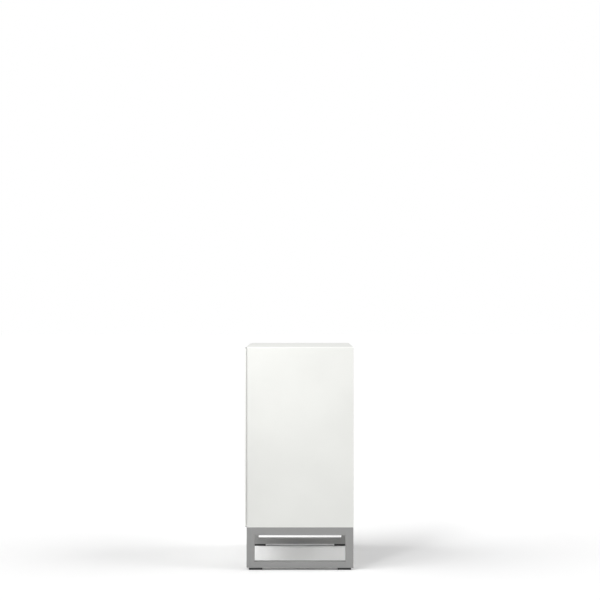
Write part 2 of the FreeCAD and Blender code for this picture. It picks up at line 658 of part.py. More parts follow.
# ---------------------------------------------------------------- shelves
for name, level in (("low", "low_shelf"), ("high", "high_shelf")):
    body(f"glass_shelf_{name}", "Z", [(("-shelf_w", "shelf_w"), ("shelf_front + trim_lap", "shelf_back"))],
         level, level + " + glass_thick")
    trim = block("trim", ("-shelf_w", "shelf_w"), ("shelf_front - trim_nose", "shelf_front + shelf_trim"),
                 (level + " - trim_under", level + " + glass_thick + trim_over"))
    slot = block("trim_slot", ("-shelf_w - over", "shelf_w + over"),
                 ("shelf_front + trim_lap", "shelf_front + shelf_trim + over"),
                 (level, level + " + glass_thick"))
    node(f"shelf_trim_{name}", cut("trim_bar", trim, slot))
    for x in (("-room_w", "-room_w + ledge_width"), ("room_w - ledge_width", "room_w")):
        ledges.append(block("ledge", x, ("shelf_front + shelf_trim + ledge_front", "shelf_back"),
                            (level + " - ledge_height", level)))
node("wall_ledges", group("ledges", ledges))

# ---------------------------------------------------------------- thermostat and lamp
STAT_Y = ("stat_y", "stat_y + stat_depth")
housing = body("thermostat_housing", "Y",
               [(("stat_x", "room_w"), ("stat_z", "stat_z + stat_height")),
                ("knob_x", "knob_z", "shaft_radius + pin_clearance")], *STAT_Y)
HOLLOW_X = ("stat_x + stat_wall", "room_w - stat_wall")
pocket(housing, "Y", [(HOLLOW_X, ("stat_z - over", "stat_z + stat_height - stat_wall"))],
       "stat_y + stat_wall", "stat_y + stat_depth - stat_wall")
SWITCH_FRONT = "stat_y + shaft_length + switch_gap"
node("thermostat_switch", block("switch", ("knob_x - switch_width / 2", "knob_x + switch_width / 2"),
                                (SWITCH_FRONT, SWITCH_FRONT + " + switch_depth"),
                                ("knob_z - switch_height / 2", "knob_z + switch_height / 2")))
body("thermostat_shaft", "Y", [("knob_x", "knob_z", "shaft_radius")],
     "stat_y - knob_gap - knob_depth / 2", "stat_y + shaft_length")
knob = body("thermostat_knob", "Y", [("knob_x", "knob_z", "knob_radius")],
            "stat_y - knob_gap - knob_depth", "stat_y - knob_gap")
pocket(knob, "Y", [("knob_x", "knob_z", "shaft_radius")],
       "stat_y - knob_gap - knob_depth / 2", "stat_y")
LENS_Y = ("stat_y + lens_front", "stat_y + lens_front + lens_depth")
node("lamp_lens", block("lens", HOLLOW_X, LENS_Y, ("stat_z", "stat_z + lens_thick")))
node("led_board", block("board", ("stat_x + led_side", "room_w - led_side"),
                        ("stat_y + led_front", "stat_y + led_front + led_depth"),
                        ("stat_z + led_lift", "stat_z + led_lift + led_thick")))

# ---------------------------------------------------------------- cooling machine
node("compressor_plate", block("plate", ("comp_x - plate_left", "inlet_x - inlet_width / 2 - plate_gap"),
                               ("case_back - plate_depth - plate_inset",
                                "case_back - plate_inset"),
                               ("plate_low", "plate_high")))
can = body("can", "Z", [("comp_x", "comp_y", "comp_radius")],
           "comp_low + foot_thick", "comp_top", shared=True)
round_edges(can, lambda edge: edge.CenterOfMass.z > value("comp_top - over"), "comp_round")
FEET = [(x, y) for x in ("comp_x - foot_spread / 2", "comp_x + foot_spread / 2")
        for y in ("comp_y - foot_depth / 2", "comp_y + foot_depth / 2")]
foot = block("foot",
             ("comp_x - foot_spread / 2 - foot_rim", "comp_x + foot_spread / 2 + foot_rim"),
             ("comp_y - foot_depth / 2 - foot_rim", "comp_y + foot_depth / 2 + foot_rim"),
             ("comp_low", "comp_low + foot_thick"))
node("compressor", fuse("can_and_foot", [can, foot]))
node("compressor_grommets", group("grommets", [
    rod("grommet", x, y, "plate_high", "grommet_radius", "grommet_height") for x, y in FEET]))
node("compressor_bolts", group("foot_bolts", [
    rod("foot_bolt", x, y, "comp_low + foot_thick", "bolt_head_radius", "bolt_head") for x, y in FEET]))
RELAY_X = "comp_x + comp_radius + relay_gap"
node("relay_cover", block("relay", (RELAY_X, RELAY_X + " + relay_width"),
                          ("comp_y - relay_depth / 2", "comp_y + relay_depth / 2"),
                          ("comp_low + relay_rise", "comp_low + relay_rise + relay_height")))
pan = body("evaporation_pan", "Z", [(("comp_x - pan_width / 2", "comp_x + pan_width / 2"),
                                     ("comp_y - pan_depth / 2", "comp_y + pan_depth / 2"))],
           "comp_top", "comp_top + pan_height")
pocket(pan, "Z", [(("comp_x - pan_width / 2 + pan_wall", "comp_x + pan_width / 2 - pan_wall"),
                   ("comp_y - pan_depth / 2 + pan_wall", "comp_y + pan_depth / 2 - pan_wall"))],
       "comp_top + pan_wall", "comp_top + pan_height + over")

# The bend radius at the end of each row, as a share of the pitch of the rows.
BEND_SHARE = 0.45
coil_y = value("coil_y")
coil_side = value("coil_w")
coil_low = value("coil_low")
coil_pitch = value("coil_pitch")
coil_rows = int(value("coil_rows"))
coil_radius = value("coil_radius")
route = []
for row in range(coil_rows):
    ends = (-coil_side, coil_side) if row % 2 == 0 else (coil_side, -coil_side)
    route += [(end, coil_y, coil_low + row * coil_pitch) for end in ends]
bent_tube("condenser_coil", route, coil_radius, coil_pitch * BEND_SHARE)
coil_high = value("coil_high")
wire_radius = value("wire_radius")
wire_pitch = value("wire_pitch")
wire_count = int((2 * coil_side - 2 * coil_pitch) / wire_pitch) + 1
first_wire = -(wire_count - 1) * wire_pitch / 2
wires = []
for count in range(wire_count):
    spot = FreeCAD.Vector(first_wire + count * wire_pitch, coil_y + coil_radius + wire_radius,
                          coil_low - coil_pitch / 4)
    wires.append(Part.makeCylinder(wire_radius, coil_high - coil_low + coil_pitch / 2, spot))
condenser_wires = node("condenser_wires", doc.addObject("Part::Feature", "condenser_wires"))
condenser_wires.Shape = Part.makeCompound(wires)
CLIP_Y = ("panel_back", "coil_y - coil_radius")
node("condenser_clips", group("clips", [
    block("clip", (x, x + " + clip_size"), CLIP_Y, (z, z + " + clip_size"))
    for x in ("-coil_w + coil_pitch", "coil_w - coil_pitch - clip_size")
    for z in ("coil_low - clip_size / 2", "coil_high - clip_size / 2")]))

pipe_radius = value("pipe_radius")
pipe_bend = value("pipe_bend")
shell_x = value("comp_x")
shell_y = value("comp_y")
shell_radius = value("comp_radius")
port_side = value("port_side")
port_z = value("comp_low + port_rise")
coil_start = coil_radius - coil_side
shell_left = shell_x - shell_radius
rise_x = shell_left - value("port_reach")
lead_z = coil_low - value("discharge_drop")
bent_tube("discharge_tube", [
    (shell_left, shell_y + port_side, port_z), (rise_x, shell_y + port_side, port_z),
    (rise_x, coil_y, port_z), (rise_x, coil_y, lead_z),
    (coil_start, coil_y, lead_z), (coil_start, coil_y, coil_low - coil_radius)],
    coil_radius, coil_radius * 3)
suction_z = value("comp_low + suction_rise")
suction_x = shell_left - value("suction_reach")
bent_tube("suction_tube", [
    (shell_left, shell_y - port_side, suction_z), (suction_x, shell_y - port_side, suction_z),
    (suction_x, shell_y - port_side, value("machine_top"))], pipe_radius, pipe_bend)
# The liquid line runs from the coil's upper end down to the drier, and a thin
# capillary goes on from there into the foam.
drier = rod("drier", "-drier_x", "coil_y", "drier_low", "drier_radius", "drier_length")
drier_x = value("drier_x")
drier_low = value("drier_low")
drier_high = value("drier_low + drier_length")
capillary_y = value("machine_front + capillary_inset")
capillary_turn = drier_low - value("capillary_drop")
liquid_line = bent_tube("liquid_line", [
    (-coil_side, coil_y, coil_high), (-drier_x, coil_y, coil_high), (-drier_x, coil_y, drier_high)],
    value("liquid_radius"), value("liquid_bend"), shared=True)
capillary = bent_tube("capillary", [
    (-drier_x, coil_y, drier_low), (-drier_x, coil_y, capillary_turn),
    (-drier_x, capillary_y, capillary_turn), (-drier_x, capillary_y, value("machine_top"))],
    value("capillary_radius"), value("liquid_bend"), shared=True)
node("filter_drier", group("drier_and_lines", [drier, liquid_line, capillary]))
DRAIN_LOW = "comp_top + pan_height + drain_gap"
DRAIN_LENGTH = "machine_top - comp_top - pan_height - drain_gap"
node("drain_spout", cut("drain", rod("spout", "comp_x + drain_side", "comp_y", DRAIN_LOW,
                                     "drain_radius", DRAIN_LENGTH),
                        rod("spout_bore", "comp_x + drain_side", "comp_y", DRAIN_LOW + " - over",
                            "drain_radius - drain_wall", DRAIN_LENGTH + " - over")))
INLET_X = ("inlet_x - inlet_width / 2", "inlet_x + inlet_width / 2")
INLET_Z = ("inlet_z", "inlet_z + inlet_height")
inlet = body("power_inlet", "Y", [(INLET_X, INLET_Z)], "case_back - inlet_depth", "case_back")
pocket(inlet, "Y", [((INLET_X[0] + " + inlet_wall", INLET_X[1] + " - inlet_wall"),
                     (INLET_Z[0] + " + inlet_wall", INLET_Z[1] + " - inlet_wall"))],
       "case_back - inlet_depth + inlet_floor", "case_back + over")
PIN_Z = "inlet_z + pin_rise"
node("inlet_pins", group("pins", [
    block("inlet_pin", (f"inlet_x {x} - pin_wide / 2", f"inlet_x {x} + pin_wide / 2"),
          ("case_back - inlet_depth + inlet_floor", "case_back - inlet_pin_back"),
          (z, z + " + pin_high"))
    for x, z in (("- pin_side", PIN_Z), ("+ pin_side", PIN_Z), ("", PIN_Z + " + pin_step"))]))
node("inlet_bracket", fuse("bracket", [
    block("bracket_post", INLET_X, ("case_back - inlet_depth - inlet_post", "case_back - inlet_depth"),
          ("in_low", INLET_Z[1])),
    block("bracket_foot", INLET_X, ("case_back - inlet_depth - inlet_foot", "case_back - inlet_depth"),
          ("in_low", "in_low + inlet_post"))]))

# ---------------------------------------------------------------- check and write
doc.recompute()
for item in doc.Objects:
    if "Invalid" in item.State or "Error" in item.State:
        raise SystemExit(f"failed: {item.Name} {item.Label} {item.State}")
for piece in nodes:
    if piece.Shape.isNull() or not piece.Shape.isValid() or not piece.Shape.Solids:
        raise SystemExit(f"bad shape: {piece.Label}")
for piece in nodes:
    piece.Shape.exportStep(f"parts/{piece.Label}.step")
print(len(nodes), "nodes written")
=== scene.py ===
import json
import math

import bmesh
import bpy
from mathutils import Matrix, Vector


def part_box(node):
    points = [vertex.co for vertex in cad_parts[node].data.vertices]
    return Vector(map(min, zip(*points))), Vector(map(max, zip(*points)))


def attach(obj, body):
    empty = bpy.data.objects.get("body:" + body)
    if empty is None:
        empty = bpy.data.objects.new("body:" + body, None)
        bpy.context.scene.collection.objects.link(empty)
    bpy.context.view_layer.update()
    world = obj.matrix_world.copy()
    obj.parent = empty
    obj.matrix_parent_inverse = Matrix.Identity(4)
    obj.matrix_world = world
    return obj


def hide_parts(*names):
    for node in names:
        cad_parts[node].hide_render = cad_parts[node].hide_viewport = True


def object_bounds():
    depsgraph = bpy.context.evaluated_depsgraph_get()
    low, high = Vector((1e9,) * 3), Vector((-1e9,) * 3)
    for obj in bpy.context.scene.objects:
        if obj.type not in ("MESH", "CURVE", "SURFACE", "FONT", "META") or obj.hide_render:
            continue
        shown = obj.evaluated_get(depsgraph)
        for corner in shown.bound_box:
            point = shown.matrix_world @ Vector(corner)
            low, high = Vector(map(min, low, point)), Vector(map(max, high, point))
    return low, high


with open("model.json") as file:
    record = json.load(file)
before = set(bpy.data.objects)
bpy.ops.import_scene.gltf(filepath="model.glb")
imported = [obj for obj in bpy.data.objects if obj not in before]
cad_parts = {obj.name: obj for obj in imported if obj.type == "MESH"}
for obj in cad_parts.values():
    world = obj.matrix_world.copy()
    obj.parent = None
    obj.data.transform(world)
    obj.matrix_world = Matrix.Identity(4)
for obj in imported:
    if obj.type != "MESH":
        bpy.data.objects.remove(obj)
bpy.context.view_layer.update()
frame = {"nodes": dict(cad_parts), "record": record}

MM = 0.001


# ---------------------------------------------------------------- materials
EVEN = (1, 1, 1)
# The part of a noise's range over which two colours blend.
BLEND_FROM_TO = (0.35, 0.65)
# Noise detail of the roughness, and the noise scales of the drift in colour and roughness.
ROUGHNESS_DETAIL = 4.0
PLASTIC_DRIFT, PLASTIC_WEAR = 6, 40
PAINT_DRIFT, PAINT_WEAR = 4, 60
METAL_DRIFT, METAL_WEAR, METAL_LINES = 40, 60, 120
# How dark and light the drift in colour is, and how smooth and rough the wear, as factors.
PLASTIC_SHADES, PLASTIC_GLOSS = (0.965, 1.02), (0.85, 1.15)
PAINT_SHADES, PAINT_GLOSS = (0.975, 1.015), (0.88, 1.12)
METAL_GLOSS = (0.7, 1.35)
# Strength of the grain of plastic, the orange peel of paint and the lines of metal.
GRAIN_STRENGTH, PEEL_STRENGTH, LINE_STRENGTH = 0.35, 0.3, 0.3
LINE_DEPTH = 0.00003


def new_material(name, colour, roughness, metallic=0.0, **sockets):
    """A principled material with constants on its own sockets."""
    material = bpy.data.materials.new(name)
    material.use_nodes = True
    shader = shader_of(material)
    shader.inputs["Base Color"].default_value = (*colour, 1)
    shader.inputs["Roughness"].default_value = roughness
    shader.inputs["Metallic"].default_value = metallic
    for socket, number in sockets.items():
        shader.inputs[socket.replace("_", " ")].default_value = number
    return material


def add(material, kind, **inputs):
    """A new shading node with numbers on its inputs."""
    node = material.node_tree.nodes.new(kind)
    for socket, number in inputs.items():
        node.inputs[socket].default_value = number
    return node


def wire(material, source, target):
    """Join two sockets."""
    material.node_tree.links.new(source, target)


def shader_of(material):
    """A material's principled shader."""
    return material.node_tree.nodes["Principled BSDF"]


def place_noise(material, scale, detail, stretch):
    """A noise texture laid on the object's own coordinates."""
    place = add(material, "ShaderNodeTexCoord")
    mapping = add(material, "ShaderNodeMapping", Scale=stretch)
    noise = add(material, "ShaderNodeTexNoise", Scale=scale, Detail=detail)
    wire(material, place.outputs["Object"], mapping.inputs["Vector"])
    wire(material, mapping.outputs["Vector"], noise.inputs["Vector"])
    return noise


def vary_colour(material, dark, light, scale, detail=3.0, stretch=EVEN):
    """Blend two close colours by noise."""
    noise = place_noise(material, scale, detail, stretch)
    ramp = add(material, "ShaderNodeValToRGB")
    for stop, place, colour in zip(ramp.color_ramp.elements, BLEND_FROM_TO, (dark, light)):
        stop.position = place
        stop.color = (*colour, 1)
    wire(material, noise.outputs[0], ramp.inputs[0])
    wire(material, ramp.outputs[0], shader_of(material).inputs["Base Color"])


def vary_roughness(material, low, high, scale, stretch=EVEN):
    """Spread the roughness between two values by noise."""
    noise = place_noise(material, scale, ROUGHNESS_DETAIL, stretch)
    span = add(material, "ShaderNodeMapRange")
    span.inputs["To Min"].default_value = low
    span.inputs["To Max"].default_value = high
    wire(material, noise.outputs[0], span.inputs["Value"])
    wire(material, span.outputs[0], shader_of(material).inputs["Roughness"])


def add_bump(material, scale, distance, strength, detail=2.0, stretch=EVEN):
    """Raise and lower the surface a little by noise."""
    noise = place_noise(material, scale, detail, stretch)
    bump = add(material, "ShaderNodeBump", Strength=strength, Distance=distance)
    wire(material, noise.outputs[0], bump.inputs["Height"])
    wire(material, bump.outputs[0], shader_of(material).inputs["Normal"])


def shades(colour, factors):
    """A darker and a lighter colour near the given one."""
    return [tuple(min(1.0, part * factor) for part in colour) for factor in factors]


def moulded(name, colour, roughness=0.45, grain=900, depth=0.00004, **sockets):
    """Moulded plastic: fine spark-eroded grain and a faint drift of colour."""
    material = new_material(name, colour, roughness, **sockets)
    vary_colour(material, *shades(colour, PLASTIC_SHADES), PLASTIC_DRIFT)
    smooth, rough = (roughness * factor for factor in PLASTIC_GLOSS)
    vary_roughness(material, smooth, min(1, rough), PLASTIC_WEAR)
    add_bump(material, grain, depth, GRAIN_STRENGTH)
    return material


def coated(name, colour, roughness, peel=260, depth=0.00005, **sockets):
    """Powder coat: orange peel at about a millimetre and a faint drift of colour."""
    material = new_material(name, colour, roughness, **sockets)
    vary_colour(material, *shades(colour, PAINT_SHADES), PAINT_DRIFT)
    vary_roughness(material, *(roughness * factor for factor in PAINT_GLOSS), PAINT_WEAR)
    add_bump(material, peel, depth, PEEL_STRENGTH, 3.0)
    return material


def brushed(name, colour, roughness, stretch, contrast=0.1, **sockets):
    """Sheet metal with drawn lines along one axis."""
    material = new_material(name, colour, roughness, 1.0, **sockets)
    vary_colour(material, *shades(colour, (1 - contrast, 1 + contrast / 2)),
                METAL_DRIFT, 4, stretch)
    vary_roughness(material, *(roughness * factor for factor in METAL_GLOSS), METAL_WEAR, stretch)
    add_bump(material, METAL_LINES, LINE_DEPTH, LINE_STRENGTH, 4.0, stretch)
    return material


MATERIALS = {
    "white_paint": coated("white_paint", (0.79, 0.795, 0.766), 0.34, Coat_Weight=0.12),
    "back_steel": brushed("back_steel", (0.62, 0.63, 0.64), 0.46, (2.5, 2.5, 2), 0.035),
    "stand_paint": coated("stand_paint", (0.305, 0.305, 0.302), 0.42, 420, 0.00006),
    "glide_plastic": moulded("glide_plastic", (0.022, 0.022, 0.023), 0.55),
    "white_plastic": moulded("white_plastic", (0.80, 0.815, 0.81), 0.32),
    "liner_plastic": moulded("liner_plastic", (0.82, 0.84, 0.845), 0.26, 500, 0.00005),
    "clear_plastic": new_material("clear_plastic", (0.93, 0.97, 0.98), 0.06, IOR=1.49,
                                  Transmission_Weight=0.93),
    "grip_plastic": moulded("grip_plastic", (0.66, 0.67, 0.665), 0.42),
    "foam": moulded("foam", (0.78, 0.68, 0.42), 0.9, 220, 0.0006),
    "seal_rubber": moulded("seal_rubber", (0.56, 0.565, 0.56), 0.62, 700),
    "magnet": moulded("magnet", (0.05, 0.04, 0.04), 0.7),
    "aluminium": brushed("aluminium", (0.80, 0.81, 0.83), 0.34, (1, 12, 12)),
    "shelf_glass": new_material("shelf_glass", (0.90, 0.97, 0.95), 0.03, IOR=1.5,
                                Transmission_Weight=0.96),
    "zinc_steel": brushed("zinc_steel", (0.64, 0.65, 0.66), 0.34, (1, 1, 6)),
    "black_steel": coated("black_steel", (0.016, 0.016, 0.017), 0.33, 300, 0.00012),
    "black_plastic": moulded("black_plastic", (0.03, 0.03, 0.032), 0.5),
    "black_rubber": moulded("black_rubber", (0.022, 0.022, 0.022), 0.78, 500),
    "copper": brushed("copper", (0.83, 0.44, 0.27), 0.26, (1, 1, 1), 0.02),
    "circuit_board": moulded("circuit_board", (0.02, 0.16, 0.07), 0.35),
    "marking": moulded("marking", (0.16, 0.17, 0.18), 0.5),
}
# Clear pieces: roughness from and to, then a slow waviness.
GLOSS_SCALE = 25
WAVE_SCALE, WAVE_DEPTH, WAVE_STRENGTH = 18, 0.00006, 0.12
for name, low, high in (("clear_plastic", 0.04, 0.12), ("shelf_glass", 0.015, 0.05)):
    vary_roughness(MATERIALS[name], low, high, GLOSS_SCALE)
    add_bump(MATERIALS[name], WAVE_SCALE, WAVE_DEPTH, WAVE_STRENGTH)

SMOOTH_UNDER_DEGREES = 35


def smooth_by_angle(piece):
    """Smooth faces, with edges sharper than the angle kept sharp."""
    mesh = piece.data
    work = bmesh.new()
    work.from_mesh(mesh)
    limit = math.radians(SMOOTH_UNDER_DEGREES)
    for face in work.faces:
        face.smooth = True
    for edge in work.edges:
        edge.smooth = len(edge.link_faces) == 2 and edge.calc_face_angle(0) < limit
    work.to_mesh(mesh)
    work.free()


def dress(piece, material):
    """Give a piece one material."""
    piece.data.materials.clear()
    piece.data.materials.append(MATERIALS[material])


# ---------------------------------------------------------------- CAD pieces that stay
slots = {row["node"]: row["material_slot"] for row in frame["record"]["subparts"]}
MATERIAL_OF = {"door_liner": "liner_plastic", "door_surround": "liner_plastic"}
# Rounded edges, as a width in millimetres.
EDGE = {"outer_wrapper": 0.35, "door_panel": 0.5, "stand_loop_left": 1.6, "stand_loop_right": 1.6,
        "cross_beam_front": 1.4, "cross_beam_back": 1.4, "glides": 1.2, "door_surround": 0.7,
        "hinge_bracket_top": 0.3, "hinge_bracket_bottom": 0.3,
        "glass_shelf_low": 0.7, "glass_shelf_high": 0.7, "wall_ledges": 1.2,
        "shelf_trim_low": 0.6, "shelf_trim_high": 0.6, "thermostat_housing": 0.7,
        "relay_cover": 4.0, "power_inlet": 0.5, "inlet_bracket": 0.4,
        "machine_housing": 0.3, "back_panel": 0.3, "base_panel": 0.3,
        "flap_ears": 0.6, "ice_box_hangers": 0.5, "compressor_plate": 0.5,
        "condenser_clips": 1.0, "led_board": 0.2}
WELD_WITHIN = 0.00001
BEVEL_OVER_DEGREES = 40


def finish_edges(piece, width):
    """Join the split corners of a CAD mesh and round its edges a little."""
    weld = piece.modifiers.new("join", "WELD")
    weld.merge_threshold = WELD_WITHIN
    bevel = piece.modifiers.new("edge", "BEVEL")
    bevel.width = width * MM
    bevel.segments = 3
    bevel.limit_method = "ANGLE"
    bevel.angle_limit = math.radians(BEVEL_OVER_DEGREES)
    piece.modifiers.new("normals", "WEIGHTED_NORMAL")


for name, piece in frame["nodes"].items():
    dress(piece, MATERIAL_OF.get(name, slots[name]))
    if name in EDGE:
        finish_edges(piece, EDGE[name])


# ---------------------------------------------------------------- mesh helpers
MERGE_WITHIN = 0.000005


def new_piece(name, work, material, body, replaces=()):
    """Turn a bmesh into a piece that rides on a body."""
    bmesh.ops.remove_doubles(work, verts=work.verts, dist=MERGE_WITHIN)
    bmesh.ops.recalc_face_normals(work, faces=work.faces)
    mesh = bpy.data.meshes.new(name)
    work.to_mesh(mesh)
    work.free()
    piece = bpy.data.objects.new(name, mesh)
    bpy.context.collection.objects.link(piece)
    smooth_by_angle(piece)
    dress(piece, material)
    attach(piece, body)
    if replaces:
        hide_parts(*replaces)
    return piece


LEAST_CORNER = 0.0003


def rounded(span_u, span_v, inset, radius, steps):
    """The points of a rounded rectangle, drawn in by an inset."""
    radius = max(radius - inset, LEAST_CORNER)
    near_u, far_u = span_u[0] + inset + radius, span_u[1] - inset - radius
    near_v, far_v = span_v[0] + inset + radius, span_v[1] - inset - radius
    corners = [(far_u, far_v, 0), (near_u, far_v, 90), (near_u, near_v, 180), (far_u, near_v, 270)]
    points = []
    for u, v, start in corners:
        for step in range(steps + 1):
            angle = math.radians(start + 90 * step / steps)
            points.append((u + radius * math.cos(angle), v + radius * math.sin(angle)))
    return points


def lift(points, axis, place):
    """Lay flat points across an axis."""
    if axis == "X":
        return [(place, u, v) for u, v in points]
    if axis == "Y":
        return [(u, place, v) for u, v in points]
    return [(u, v, place) for u, v in points]


def loft(work, rings, closed=False, caps=True):
    """Join rings of equal length with faces. A closed loft goes back to its first ring."""
    rows = [[work.verts.new(point) for point in ring] for ring in rings]
    pairs = list(zip(rows, rows[1:]))
    if closed:
        pairs.append((rows[-1], rows[0]))
    for first, second in pairs:
        count = len(first)
        for here in range(count):
            after = (here + 1) % count
            work.faces.new((first[here], first[after], second[after], second[here]))
    if caps and not closed:
        work.faces.new(rows[0])
        work.faces.new(rows[-1])


def profile_loft(work, span_u, span_v, radius, axis, profile, closed=False, steps=6):
    """A loft whose rings are one rounded rectangle at each (inset, place) of a profile."""
    rings = [lift(rounded(span_u, span_v, inset, radius, steps), axis, place)
             for inset, place in profile]
    loft(work, rings, closed)


def bar(work, low_corner, high_corner, round_edge, segments=2):
    """A box with rounded edges, added to a bmesh."""
    made = bmesh.ops.create_cube(work, size=1)["verts"]
    centre = (Vector(low_corner) + Vector(high_corner)) / 2
    size = Vector(high_corner) - Vector(low_corner)
    for vert in made:
        vert.co = Vector(part * whole for part, whole in zip(vert.co, size)) + centre
    edges = {edge for vert in made for edge in vert.link_edges}
    bmesh.ops.bevel(work, geom=list(edges), offset=round_edge, segments=segments, profile=0.5,
                    affect="EDGES", clamp_overlap=True)


# A turned piece closes at its axis with a ring too small to see.
LEAST_RADIUS = 0.00005


def turned(work, profile, centre, axis, steps):
    """A turned solid from (radius, height) pairs."""
    rings = []
    for radius, height in profile:
        reach = max(radius, LEAST_RADIUS)
        points = [(reach * math.cos(2 * math.pi * step / steps),
                   reach * math.sin(2 * math.pi * step / steps)) for step in range(steps)]
        rings.append([Vector(point) + Vector(centre) for point in lift(points, axis, height)])
    loft(work, rings)


def box_of(node):
    """A node's lowest and highest corners as vectors."""
    return tuple(Vector(corner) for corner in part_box(node))


def quarter(steps):
    """The sine and cosine of each step of a quarter turn, without its start."""
    angles = [math.radians(90 * step / steps) for step in range(1, steps + 1)]
    return [(math.sin(angle), math.cos(angle)) for angle in angles]


# ---------------------------------------------------------------- tubs: bins, trays and cups
SOFT_SHARE, MOST_SOFT = 0.45, 4 * MM
RIM_UNDER, RIM_TURN, RIM_LOW = 3.2 * MM, 2.9 * MM, 2.3 * MM
RIM_EDGE, RIM_ROUND, RIM_TURN_SHARE = 0.6 * MM, 0.5 * MM, 0.4


def tub(name, node, material, body, wall, radius, rim):
    """An open-topped moulding with rounded corners, a rolled rim and a soft floor edge.

    The wall, corner radius and rim are in millimetres."""
    wall, radius, rim = wall * MM, radius * MM, rim * MM
    lo, hi = box_of(node)
    soft = min(radius * SOFT_SHARE, MOST_SOFT)
    inner = wall + rim
    profile = [(soft, lo.z)]
    profile += [(soft * (1 - sine) + rim, lo.z + soft * (1 - cosine))
                for sine, cosine in quarter(4)]
    profile += [(rim, hi.z - RIM_UNDER), (rim * RIM_TURN_SHARE, hi.z - RIM_TURN),
                (0, hi.z - RIM_LOW), (0, hi.z - RIM_EDGE), (RIM_ROUND, hi.z),
                (inner - RIM_ROUND, hi.z), (inner, hi.z - RIM_EDGE), (inner, lo.z + wall + soft)]
    profile += [(inner + soft * (1 - cosine), lo.z + wall + soft * (1 - sine))
                for sine, cosine in quarter(4)]
    work = bmesh.new()
    profile_loft(work, (lo.x, hi.x), (lo.y, hi.y), radius, "Z", profile)
    new_piece(name, work, material, body, replaces=(node,))


RIB_INSET = 14 * MM
RIB_IN, RIB_OUT, RIB_HALF = 1.4 * MM, 0.1 * MM, 1.2 * MM
# Ribs fill the lower part of a bin's front: these rows of space are left above them.
SPACE_ABOVE = 1.6
for level, lines in (("low", 3), ("middle", 2), ("top", 2)):
    node = f"door_bin_{level}"
    tub(f"bin_{level}", node, "clear_plastic", "door", 2.0, 9, 0.8)
    lo, hi = box_of(node)
    work = bmesh.new()
    for line in range(lines):
        z = lo.z + (hi.z - lo.z) * (line + 1) / (lines + SPACE_ABOVE)
        bar(work, (lo.x + RIB_INSET, hi.y - RIB_IN, z - RIB_HALF),
            (hi.x - RIB_INSET, hi.y - RIB_OUT, z + RIB_HALF), 0.4 * MM)
    new_piece(f"bin_{level}_ribs", work, "clear_plastic", "door")

tub("melt_tray", "drip_tray", "white_plastic", "cabinet", 1.5, 8, 1.5)
tub("pan_over_compressor", "evaporation_pan", "black_plastic", "cabinet", 2, 8, 1)

# ---------------------------------------------------------------- grip cup
lo, hi = box_of("grip_cup")
CUP_WALL, CUP_BEND = 1.9 * MM, 5 * MM
bend_y = hi.y - 7 * MM
# Each point is an inset and a place along Y: the rim and the inside, then the outside.
cup = [(0.2 * MM, lo.y + 0.4 * MM), (0.5 * MM, lo.y), (1.1 * MM, lo.y), (1.5 * MM, lo.y + 0.5 * MM),
       (CUP_WALL, bend_y)]
cup += [(CUP_WALL + CUP_BEND * (1 - cosine), bend_y + CUP_BEND * sine)
        for sine, cosine in quarter(5)]
cup_back = [(0.1 * MM, lo.y + 0.6 * MM), (0.1 * MM, hi.y - 0.3 * MM), (0.4 * MM, hi.y)]
work = bmesh.new()
profile_loft(work, (lo.x, hi.x), (lo.z, hi.z), 0.4 * MM, "Y",
             list(reversed(cup_back)) + cup, steps=3)
new_piece("door_grip", work, "grip_plastic", "door", replaces=("grip_cup",))

# ---------------------------------------------------------------- gasket
lo, hi = box_of("door_gasket")
depth = hi.y - lo.y
# Each point is an inset in millimetres and a share of the depth.
bellows = [(1.0, 0.00), (15.0, 0.00), (15.4, 0.10), (13.2, 0.22), (14.8, 0.34), (13.4, 0.48),
           (15.6, 0.62), (15.9, 0.92), (15.2, 1.00), (0.8, 1.00), (0.1, 0.92), (0.4, 0.62),
           (2.6, 0.48), (1.2, 0.34), (2.8, 0.22), (0.6, 0.10)]
profile = [(inset * MM, lo.y + depth * along) for inset, along in bellows]
work = bmesh.new()
profile_loft(work, (lo.x, hi.x), (lo.z, hi.z), 1.2 * MM, "Y", profile, closed=True, steps=2)
new_piece("door_seal", work, "seal_rubber", "door", replaces=("door_gasket",))

# ---------------------------------------------------------------- cabinet liner
lo, hi = box_of("cabinet_liner")
skin = 1.5 * MM
machine_lo, machine_hi = box_of("machine_housing")
FOAM_THICK = 34 * MM
CORNER = 4 * MM
room_low = lo.z + skin
step_front = machine_lo.y - FOAM_THICK - skin
step_top = machine_hi.z + FOAM_THICK + skin
side = [(lo.y, room_low), (step_front, room_low), (step_front, step_top),
        (hi.y - skin, step_top), (hi.y - skin, hi.z - skin), (lo.y, hi.z - skin)]
work = bmesh.new()
left = [work.verts.new((lo.x + skin, y, z)) for y, z in side]
right = [work.verts.new((hi.x - skin, y, z)) for y, z in side]
work.faces.new(left)
work.faces.new(right)
for here in range(len(side) - 1):
    work.faces.new((left[here], left[here + 1], right[here + 1], right[here]))
inner_edges = [edge for edge in work.edges if len(edge.link_faces) == 2]
bmesh.ops.bevel(work, geom=inner_edges, offset=CORNER, segments=4, profile=0.5, affect="EDGES",
                clamp_overlap=True)
liner = new_piece("inner_liner", work, "liner_plastic", "cabinet",
                  ("cabinet_liner",))
shell = liner.modifiers.new("skin", "SOLIDIFY")
shell.thickness = skin
shell.offset = 1

